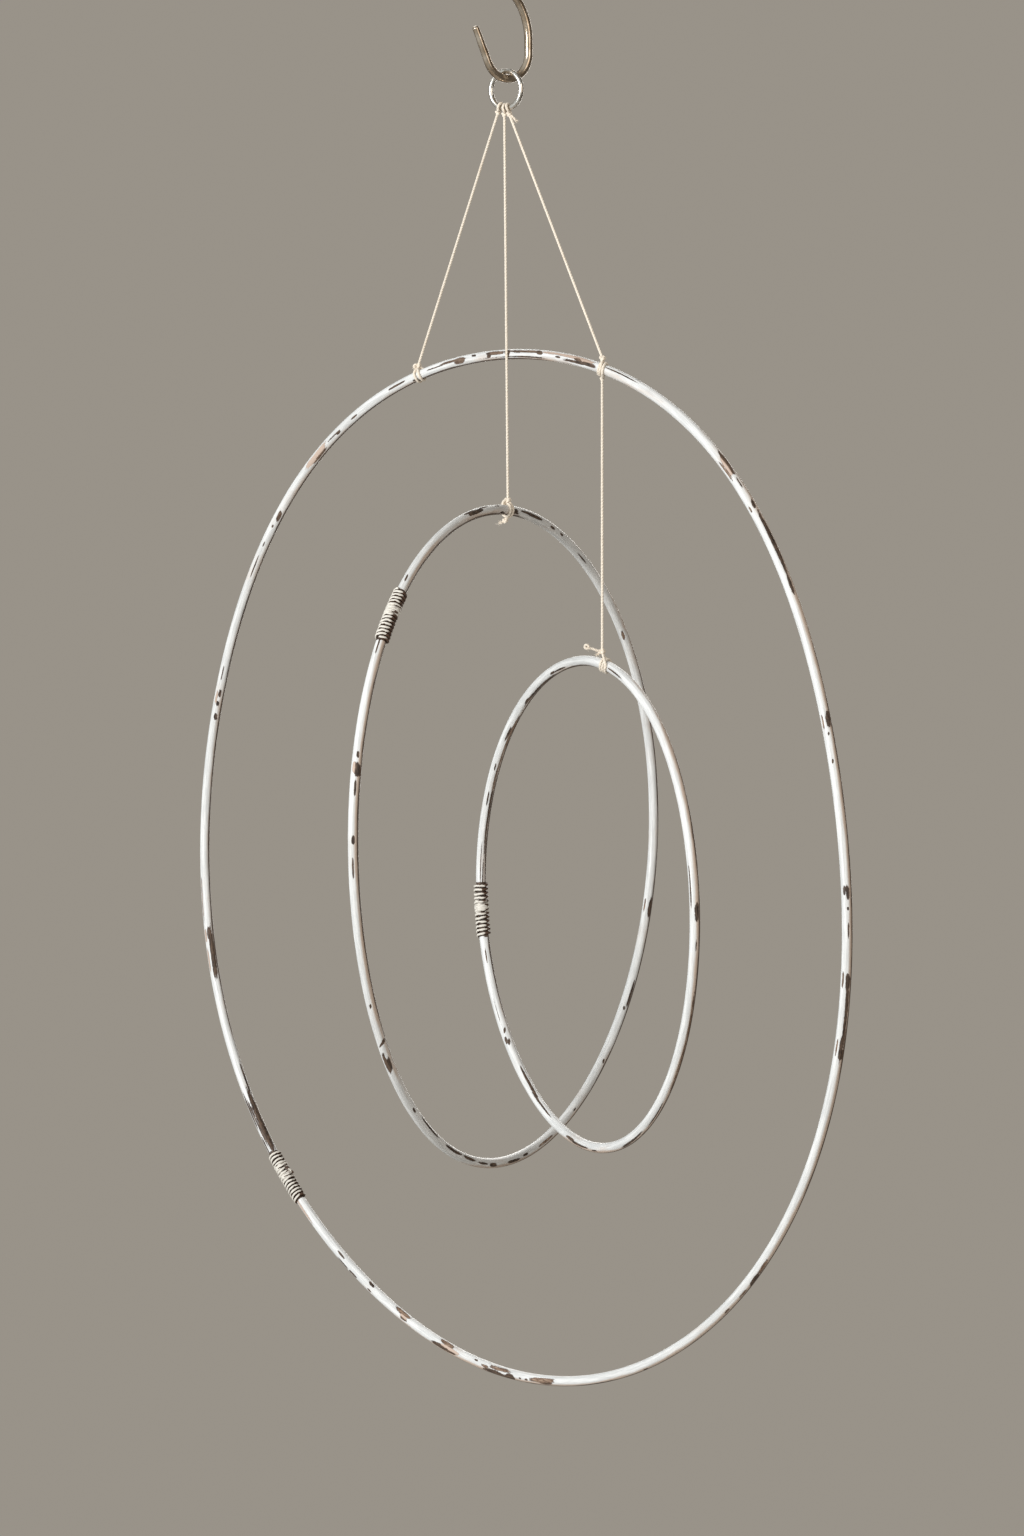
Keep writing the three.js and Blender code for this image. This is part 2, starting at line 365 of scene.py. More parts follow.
class Hoop:
    """A hoop's centre, upright plane and radius all round, measured from its solid.

    Angles, in degrees, start at the hoop's right-hand side and run up over the top."""

    def __init__(self, size):
        points = corners(size + "_hoop")
        self.centre = points.mean(0)
        self.across = level_way(points, self.centre)
        self.side = np.array([-self.across[1], self.across[0], 0])
        self.up = np.array([0, 0, 1.0])
        for _ in range(4):
            angle, distance, _height = self.place(points)
            self.waves = np.linalg.lstsq(self.terms(angle), distance, rcond=None)[0]
            self.centre = self.centre + self.across * self.waves[1] + self.up * self.waves[2]
        self.radius = self.waves[0]
        bound = np.degrees(self.place(corners(size + "_binding"))[0]) % 360
        self.bound = (bound.min(), bound.max())
        self.joint = math.radians(sum(self.bound) / 2)

    @staticmethod
    def terms(angle):
        waves = [np.ones_like(angle)]
        for count in range(1, 7):
            waves += [np.cos(count * angle), np.sin(count * angle)]
        return np.stack(waves, -1)

    def place(self, points):
        """Angle in radians, distance from the centre, and height off the hoop's plane."""
        away = points - self.centre
        x, z = away @ self.across, away @ self.up
        return np.arctan2(z, x), np.hypot(x, z), away @ self.side

    def rod(self, degrees):
        """The rod's middle, its outward direction and the side direction, at an angle round the hoop."""
        angle = np.radians(np.asarray(degrees, float))
        out = np.cos(angle)[..., None] * self.across + np.sin(angle)[..., None] * self.up
        middle = self.centre + out * (self.terms(angle) @ self.waves)[..., None]
        return middle, out, np.broadcast_to(self.side, out.shape)

    def around(self, degrees, reach, turn):
        """A point at a distance from the rod's middle. turn is 0 outside the hoop, 270 on its near side."""
        middle, out, side = self.rod(degrees)
        turn = np.radians(turn)
        return middle + reach * (out * np.cos(turn) + side * np.sin(turn))

    def degrees(self, length):
        return math.degrees(length / self.radius)

    def straight(self, points):
        """The points as they would be if the rod were straight: along it from the joint, outward, and to
        the side."""
        angle, distance, height = self.place(points)
        outward = distance - self.terms(angle) @ self.waves
        return np.stack([(angle - self.joint) % TURN * self.radius, outward, height], -1)


SIZES = ("outer", "middle", "small")
HOOPS = {size: Hoop(size) for size in SIZES}


class Ring:
    """The ring's centre, upright plane and radius, measured from its solid.

    Angles, in degrees, start at its lowest point."""

    def __init__(self):
        points = corners("hanging_ring")
        low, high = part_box("hanging_ring")
        self.centre = np.array((low + high) / 2)
        self.across = level_way(points, self.centre)
        self.side = np.array([-self.across[1], self.across[0], 0])
        self.radius = (high.z - low.z - RING_WIRE) / 2

    def out(self, degrees):
        angle = np.radians(degrees)
        return self.across * np.sin(angle) + np.array([0, 0, -1.0]) * np.cos(angle)

    def around(self, degrees, reach, turn):
        """A point at a distance from the wire's middle. turn is 0 outside the ring, 270 on its near side."""
        out = self.out(degrees)
        turn = np.radians(turn)
        return self.centre + out * self.radius + reach * (out * np.cos(turn) + self.side * np.sin(turn))


RING = Ring()


def distances(points):
    """How far along a line each of its points is."""
    return np.r_[0, np.cumsum(np.linalg.norm(np.diff(points, axis=0), axis=1))]


def smooth_line(points, step):
    """A smooth line through a few points, in short even steps."""
    points = np.asarray(points, float)
    ends = [2 * points[0] - points[1], *points, 2 * points[-1] - points[-2]]
    fine = []
    for before, start, end, after in zip(ends, ends[1:], ends[2:], ends[3:]):
        pairs = ((before, start), (start, end), (end, after))
        gaps = [max(np.linalg.norm(b - a), SHORTEST) ** 0.5 for a, b in pairs]
        leave = (start - before) / gaps[0] - (end - before) / (gaps[0] + gaps[1]) + (end - start) / gaps[1]
        arrive = (end - start) / gaps[1] - (after - start) / (gaps[1] + gaps[2]) + (after - end) / gaps[2]
        leave, arrive = leave * gaps[1], arrive * gaps[1]
        t = np.linspace(0, 1, CURVE_POINTS, endpoint=False)[:, None]
        fine.append((2 * t**3 - 3 * t**2 + 1) * start + (t**3 - 2 * t**2 + t) * leave
                    + (3 * t**2 - 2 * t**3) * end + (t**3 - t**2) * arrive)
    fine = np.concatenate([*fine, points[-1:]])
    reached = distances(fine)
    even = np.linspace(0, reached[-1], max(2, round(reached[-1] / step) + 1))
    return np.stack([np.interp(even, reached, fine[:, axis]) for axis in range(3)], -1)


NEAR_KNOT = np.array([0, 1.5, 4, 9, 20]) * MM  # the distances of a straight string's points from its knots


def taut(start, end):
    """Points along a string pulled straight between two knots, close together near each."""
    shares = NEAR_KNOT / np.linalg.norm(end - start)
    return [start + (end - start) * share for share in [*shares, *(1 - shares[::-1])]]


# ---- finishes ----

def new_finish(name, **plain):
    """A material with its shader's plain values set."""
    material = bpy.data.materials.new(name)
    material.use_nodes = True
    recipe = Recipe(material.node_tree)
    shader = material.node_tree.nodes["Principled BSDF"]
    for label, value in plain.items():
        shader.inputs[label.replace("_", " ")].default_value = value
    return material, recipe, shader


def attribute(recipe, name):
    return recipe.add("ShaderNodeAttribute", attribute_name=name)


def stretched(recipe, where, along, around):
    """Coordinates in millimetres of the straight rod, squeezed by those factors."""
    squeeze = (along / MM, around / MM, around / MM)
    return recipe.vectors("MULTIPLY", where, squeeze)


def chipped_paint():
    """Brushed off-white paint on dark steel, chipped to a brown undercoat and bare metal, with painted shade
    along one edge.
    """
    material, recipe, shader = new_finish("chipped_paint", IOR=1.5, Specular_IOR_Level=0.5)
    where = attribute(recipe, "straight").outputs["Vector"]
    chip = attribute(recipe, "chip").outputs["Fac"]
    bare = attribute(recipe, "bare").outputs["Fac"]
    lee = attribute(recipe, "lee").outputs["Fac"]
    rain = attribute(recipe, "rain").outputs["Fac"]
    strokes = recipe.noise(stretched(recipe, where, 0.045, 0.9), 1.0, 5.0, 0.6)
    hairs = recipe.noise(stretched(recipe, where, 0.11, 2.4), 1.0, 3.0, 0.6, 1.0)
    clouds = recipe.noise(stretched(recipe, where, 0.03, 0.12), 1.0, 3.0, 0.55, 3.0)
    crumbs = recipe.noise(stretched(recipe, where, 0.55, 1.3), 1.0, 4.0, 0.65, 5.0)
    # where the paint is off: the chips, roughened at their rims, and a few fine scratches
    ragged = recipe.maths("MULTIPLY_ADD", recipe.maths("SUBTRACT", crumbs, 0.5), 0.5, chip)
    scratches = recipe.noise(stretched(recipe, where, 0.035, 1.5), 1.0, 5.0, 0.7, 9.0)
    worn = recipe.maths("MAXIMUM", ragged, recipe.step(scratches, 0.68, 0.8))
    off = recipe.step(worn, 0.47, 0.53)
    ring = recipe.maths("SUBTRACT", recipe.step(worn, 0.40, 0.48), recipe.step(worn, 0.53, 0.62))
    rim = recipe.maths("MULTIPLY", ring, recipe.step(hairs, 0.38, 0.6, 0.25, 0.95), clamp=True)
    # colours
    tone = recipe.maths("MULTIPLY_ADD", hairs, 0.4, recipe.maths("MULTIPLY", strokes, 0.6))
    white = recipe.mix(recipe.step(tone, 0.4, 0.62), (0.66, 0.665, 0.66, 1), (0.87, 0.87, 0.86, 1))
    # a mottled warm beige tint on the outer part of the lower/right edge: painted warm shade and staining
    mottled_shade_and_stain = recipe.maths("MULTIPLY_ADD", recipe.maths("SUBTRACT", clouds, 0.5), 1.2, rain)
    white = recipe.mix(recipe.step(mottled_shade_and_stain, 0.06, 0.52, 0.0, 0.84), white, (0.57, 0.43, 0.33, 1))
    # painted shade: a dark brown line along the rod's lower/right edge, broken up by the brush strokes
    edge = recipe.maths("MULTIPLY_ADD", recipe.maths("SUBTRACT", strokes, 0.5), 0.7, lee)
    white = recipe.mix(recipe.step(edge, 0.66, 0.84, 0.0, 0.92), white, (0.075, 0.042, 0.027, 1))
    layers = recipe.noise(stretched(recipe, where, 0.22, 1.1), 1.0, 4.0, 0.65, 12.0)
    under = recipe.mix(recipe.step(layers, 0.42, 0.52), (0.13, 0.075, 0.048, 1), (0.29, 0.19, 0.13, 1))
    under = recipe.mix(recipe.step(layers, 0.54, 0.64), under, (0.56, 0.45, 0.36, 1))
    metal = recipe.mix(recipe.step(layers, 0.35, 0.68), (0.018, 0.011, 0.008, 1), (0.15, 0.095, 0.062, 1))
    fresh = recipe.step(bare, -0.5, -0.1, 1.0, 0.0)
    under = recipe.mix(fresh, under, (0.58, 0.45, 0.37, 1))
    deep = recipe.step(recipe.maths("MULTIPLY_ADD", layers, 0.6, bare), 0.6, 0.95)
    colour = recipe.mix(off, white, recipe.mix(deep, under, metal))
    rim = recipe.maths("MULTIPLY", rim, recipe.maths("MULTIPLY_ADD", fresh, -0.8, 1.0))
    colour = recipe.mix(rim, colour, (0.075, 0.042, 0.028, 1))
    recipe.plug(shader, "Base Color", colour)
    rough = recipe.step(strokes, 0.3, 0.7, 0.3, 0.44)
    recipe.plug(shader, "Roughness", recipe.maths("MULTIPLY_ADD", off, 0.2, rough))
    # relief: brush strokes, then the step down at a chip
    brushed = recipe.add("ShaderNodeBump", {"Strength": 0.35, "Distance": 0.12 * MM, "Height": strokes})
    stepped = recipe.add("ShaderNodeBump", {"Strength": 0.7, "Distance": 0.12 * MM,
                                            "Height": recipe.maths("SUBTRACT", 1.0, off), "Normal": brushed})
    recipe.plug(shader, "Normal", stepped)
    return material


def clogged_paint():
    """The same paint on wound wire: on the crowns of the turns, less of it on the painted shade side, and
    packed between some of them.
    """
    material, recipe, shader = new_finish("clogged_paint", IOR=1.5)
    where = recipe.add("ShaderNodeTexCoord").outputs["Object"]
    crown = attribute(recipe, "crown").outputs["Fac"]
    lee = attribute(recipe, "lee").outputs["Fac"]
    blotches = recipe.noise(where, 320.0, 4.0, 0.6)
    grain = recipe.noise(where, 1500.0, 3.0, 0.6, 2.0)
    # fewer white crowns along the lower/right edge: painted shade
    crown_less_shade = recipe.maths("MULTIPLY_ADD", lee, -0.7, crown)
    patchy = recipe.maths("MULTIPLY_ADD", recipe.maths("SUBTRACT", blotches, 0.5), 1.5, crown_less_shade)
    covered = recipe.step(patchy, 0.60, 0.74)
    white = recipe.mix(grain, (0.62, 0.57, 0.49, 1), (0.90, 0.87, 0.81, 1))
    dark = recipe.mix(grain, (0.022, 0.012, 0.008, 1), (0.16, 0.085, 0.05, 1))
    recipe.plug(shader, "Base Color", recipe.mix(covered, dark, white))
    recipe.plug(shader, "Roughness", recipe.step(grain, 0.3, 0.7, 0.38, 0.6))
    bump = recipe.add("ShaderNodeBump", {"Strength": 0.5, "Distance": 0.12 * MM, "Height": blotches})
    recipe.plug(shader, "Normal", bump)
    return material


def hook_steel():
    """Dark brown aged steel, half bright, with faint drawing lines."""
    material, recipe, shader = new_finish("hook_steel", Metallic=1.0)
    where = recipe.add("ShaderNodeTexCoord").outputs["Object"]
    clouds = recipe.noise(where, 160.0, 4.0, 0.6)
    grain = recipe.noise(where, 1400.0, 3.0, 0.6, 4.0)
    colour = recipe.mix(recipe.step(clouds, 0.35, 0.7), (0.40, 0.31, 0.22, 1), (0.62, 0.53, 0.43, 1))
    recipe.plug(shader, "Base Color", colour)
    recipe.plug(shader, "Roughness", recipe.step(grain, 0.3, 0.7, 0.13, 0.24))
    bump = recipe.add("ShaderNodeBump", {"Strength": 0.15, "Distance": 0.05 * MM, "Height": grain})
    recipe.plug(shader, "Normal", bump)
    return material


def ring_steel():
    """Bright plated wire, duller and stained in places."""
    material, recipe, shader = new_finish("ring_steel", Metallic=1.0)
    where = recipe.add("ShaderNodeTexCoord").outputs["Object"]
    clouds = recipe.noise(where, 260.0, 4.0, 0.6)
    grain = recipe.noise(where, 1600.0, 3.0, 0.6, 6.0)
    colour = recipe.mix(recipe.step(clouds, 0.45, 0.72), (0.72, 0.69, 0.64, 1), (0.42, 0.36, 0.29, 1))
    recipe.plug(shader, "Base Color", colour)
    recipe.plug(shader, "Roughness", recipe.step(clouds, 0.35, 0.7, 0.10, 0.24))
    bump = recipe.add("ShaderNodeBump", {"Strength": 0.1, "Distance": 0.05 * MM, "Height": grain})
    recipe.plug(shader, "Normal", bump)
    return material


def cotton():
    """Soft cream cotton, with fine fibres and a little grime."""
    material, recipe, shader = new_finish("cotton", Roughness=0.85, Sheen_Weight=0.35, Sheen_Roughness=0.5)
    where = recipe.add("ShaderNodeTexCoord").outputs["Object"]
    grime = recipe.noise(where, 90.0, 3.0, 0.6)
    fibres = recipe.noise(where, 2600.0, 3.0, 0.7, 2.0)
    clean = recipe.mix(recipe.step(fibres, 0.3, 0.7), (0.78, 0.67, 0.54, 1), (0.94, 0.86, 0.75, 1))
    soiled = recipe.step(grime, 0.5, 0.8, 0.0, 0.4)
    recipe.plug(shader, "Base Color", recipe.mix(soiled, clean, (0.62, 0.48, 0.34, 1)))
    bump = recipe.add("ShaderNodeBump", {"Strength": 0.4, "Distance": 0.06 * MM, "Height": fibres})
    recipe.plug(shader, "Normal", bump)
    return material


PAINT = chipped_paint()
CLOGGED = clogged_paint()
HOOK_STEEL = hook_steel()
RING_STEEL = ring_steel()
COTTON = cotton()


def keep(piece, slot, *nodes):
    """The piece rides with the mobile and stands for its solids, which it hides. slot is not used."""
    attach(piece, "root")
    if nodes:
        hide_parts(*nodes)
    return piece


# ---- the strings ----

WRAP_STEP = 30  # degrees between points round a wrap
LOOP_OPEN = 40  # degrees left open each way where a loop round the ring runs into its knot
LOOP_DRIFT = 4  # degrees that such a loop drifts along the ring, each way
WRAP_OPEN = 50  # degrees left open each way where the wraps round a rod run into their knot
SNUG = 0.1 * MM  # between a rod and the string round it
KNOT_POINTS = 60
RING_LUMP = 0.42 * MM  # a third of a knot's radius
ROD_LUMP = 0.5 * MM
TOP_LUMP = 0.28 * MM
FRAYED_FIBRES = 60


def tucked(knot, wrap, share=0.2):
    """Where a string's end lies hidden in its knot, a share of the way to the wrap it comes from."""
    return knot + (wrap - knot) * share


def ring_loop(at):
    """Once round the ring's wire and down out of the knot below it."""
    reach = (RING_WIRE + STRING) / 2 + GAP
    turns = np.arange(LOOP_OPEN, 360 - LOOP_OPEN + 1, WRAP_STEP)
    drift = np.linspace(-LOOP_DRIFT, LOOP_DRIFT, len(turns))
    loop = [RING.around(at + shift, reach, turn) for turn, shift in zip(turns, drift)]
    knot = RING.around(at, reach + STRING / 2, 0)
    return [tucked(knot, loop[0], 0.15), *loop, knot], knot


def rod_tie(size, at, wraps, width, shift, start, lean, rise):
    """The wraps round a rod and the knot they begin and end in: points in order, and the knot's place."""
    hoop = HOOPS[size]
    sweep_angle = 360 * wraps
    reach = (ROD + STRING) / 2 + SNUG
    points = []
    for turn in np.arange(WRAP_OPEN, sweep_angle - WRAP_OPEN + 1, WRAP_STEP):
        along = width * (turn / sweep_angle - 0.5) - lean * math.sin(math.radians(start + turn))
        points.append(hoop.around(at + hoop.degrees(along), reach, start + turn))
    knot = hoop.around(at + hoop.degrees(shift), rise, start)
    return points, knot


def knot_lump(middle, size, tilt):
    """A tight overhand knot: a three-lobed closed loop of string."""
    t = np.linspace(0, TURN, KNOT_POINTS)
    lobes = np.stack([np.sin(t) + 2 * np.sin(2 * t), np.cos(t) - 2 * np.cos(2 * t), -1.2 * np.sin(3 * t)], -1)
    c, s = math.cos(tilt), math.sin(tilt)
    lean = np.array([[1, 0, 0], [0, c, -s], [0, s, c]])
    return middle + size * lobes @ lean.T


def loose_end(name, knot, course, seed, lump=0.0):
    """A short end of string out of a knot, with its last fibres frayed. The course is in millimetres."""
    path = smooth_line([knot + np.array(offset) * MM for offset in course], 0.3 * MM)
    rng = np.random.default_rng(seed)
    forward = path[-1] - path[-4]
    forward /= np.linalg.norm(forward)
    fibres = []
    for _ in range(FRAYED_FIBRES):
        spread = forward * rng.uniform(0.2, 1.0) + rng.normal(size=3) * 0.4
        start = path[-1] - forward * rng.uniform(0.0, 1.2) * MM + rng.normal(size=3) * 0.2 * MM
        bend = rng.normal(size=3) * 0.7
        shares = np.linspace(0, 1, 7)[:, None]
        fibres.append(start + (spread * shares + bend * shares**2) * rng.uniform(0.5, 1.4) * MM)
    girth = 0.95 - 0.2 * np.linspace(0, 1, len(path)) ** 3
    turns = [knot_lump(knot, lump, tilt=0.7)] if lump else []
    girth = np.r_[girth, np.ones(KNOT_POINTS * len(turns))]
    end = grow(name, LAID, lines(path, *turns, girth=girth), COTTON, Plies=PLIES, Ply_radius=PLY,
               Lay_radius=LAY_RADIUS, Lay=LAY, Step=0.35 * MM)
    fray = grow(name + "_fray", BAR, lines(*fibres), COTTON, Radius=0.05 * MM, Sides=5)
    keep(end, "cotton")
    keep(fray, "cotton")
    return [end, fray]


def make_string(name, route, lumps, ends):
    """One laid string along its route with its knots and loose ends."""
    path = smooth_line(route, 0.5 * MM)
    solid = grow(name + "_cotton", LAID, lines(path, *lumps), COTTON, Plies=PLIES, Ply_radius=PLY,
                 Lay_radius=LAY_RADIUS, Lay=LAY, Step=0.45 * MM)
    fuzzy = grow(name + "_fuzz", FUZZ, solid.data, COTTON, Fibres_an_area=2.2e5, Fibre_length=0.9 * MM,
                 Fibre_radius=0.012 * MM, Seed=3)
    solid.data = fuzzy.data
    bpy.data.objects.remove(fuzzy)
    keep(solid, "cotton", name)
    pieces = []
    for count, end in enumerate(ends, 1):
        pieces += loose_end(f"{name}_end_{count}", *end)


# Each tie: hoop, angle, turns, spread along the rod, the knot's place along it, where round the rod it
# starts, how far the front of its turns leans along the rod, and the knot's height from the rod's middle.
TIES = {
    "outer_left": ("outer", 106.1, 2, 8 * MM, 0, 0, -2.4 * MM, 6.2 * MM),
    "outer_right": ("outer", 73.7, 2, -3.4 * MM, 0.5 * MM, 0, -2.4 * MM, 6.0 * MM),
    "middle": ("middle", 90.4, 2, -7 * MM, -0.6 * MM, 0, 2.6 * MM, 6.2 * MM),
    "small_top": ("outer", 73.1, 1, 2 * MM, 0.6 * MM, 180, -2.0 * MM, 5.7 * MM),
    "small": ("small", 79.5, 3, -9.5 * MM, 5.4 * MM, 0, -3.0 * MM, 7.3 * MM),
}
RING_TIES = {"left_string": -23.9, "middle_string": -4.4, "right_string": 9.4}

HUNG_FROM_RING = {"left_string": "outer_left", "middle_string": "middle", "right_string": "outer_right"}

for string_name, tie in HUNG_FROM_RING.items():
    loop, ring_knot = ring_loop(RING_TIES[string_name])
    wraps, rod_knot = rod_tie(*TIES[tie])
    # each loose end: its knot, its course in millimetres from there, a seed, and a knot of its own if any
    if string_name == "left_string":
        ends = [(rod_knot, [(0, 0, 0), (-1.6, -0.8, 0.5), (-2.6, -1.0, -0.4), (-1.9, -1.4, -1.6)], 1)]
    elif string_name == "right_string":
        ends = [(ring_knot, [(0, 0, 0), (1.7, -0.9, -1.5), (3.2, -1.2, -3.1), (4.3, -1.2, -4.5)], 3)]
    else:
        low_knot = rod_knot + np.array([-1.6, -1.5, -12.4]) * MM
        tail = [(1.8, 0.3, 2.4), (0.6, 0, 0.9), (-0.6, 0, -0.3), (-2.0, -0.2, -1.1), (-3.2, 0, -1.6)]
        ends = [(rod_knot, [(0, 0, 0), (-2.0, -1.0, -0.4), (-3.2, -1.5, -2.2), (-2.4, -1.8, -3.6)], 2),
                (low_knot, tail, 4, RING_LUMP)]
    route = [*loop[:-1], *taut(ring_knot, rod_knot), *wraps, tucked(rod_knot, wraps[-1])]
    lumps = [knot_lump(ring_knot, RING_LUMP, tilt=0.9), knot_lump(rod_knot, ROD_LUMP, tilt=0.5)]
    make_string(string_name, route, lumps, ends)

top_wraps, top_knot = rod_tie(*TIES["small_top"])
low_wraps, low_knot = rod_tie(*TIES["small"])
curl = [(0, 0, 0), (-2.4, -0.8, 0.4), (-5.0, -1.2, 1.3), (-7.4, -1.2, 1.9), (-9.6, -1.2, 1.7),
        (-10.4, -1.2, 2.8), (-9.6, -1.2, 3.9), (-8.3, -1.3, 3.4), (-7.9, -1.6, 2.4)]
stub = [(0, 0, 0), (-1.8, -1.0, -0.9), (-3.0, -1.3, -1.8)]
route = [tucked(top_knot, top_wraps[0]), *top_wraps, *taut(top_knot, low_knot), *low_wraps,
         tucked(low_knot, low_wraps[-1])]
lumps = [knot_lump(top_knot, TOP_LUMP, tilt=1.0), knot_lump(low_knot, ROD_LUMP, tilt=0.4)]
make_string("small_hoop_string", route, lumps, [(low_knot, curl, 5), (low_knot, stub, 6)])
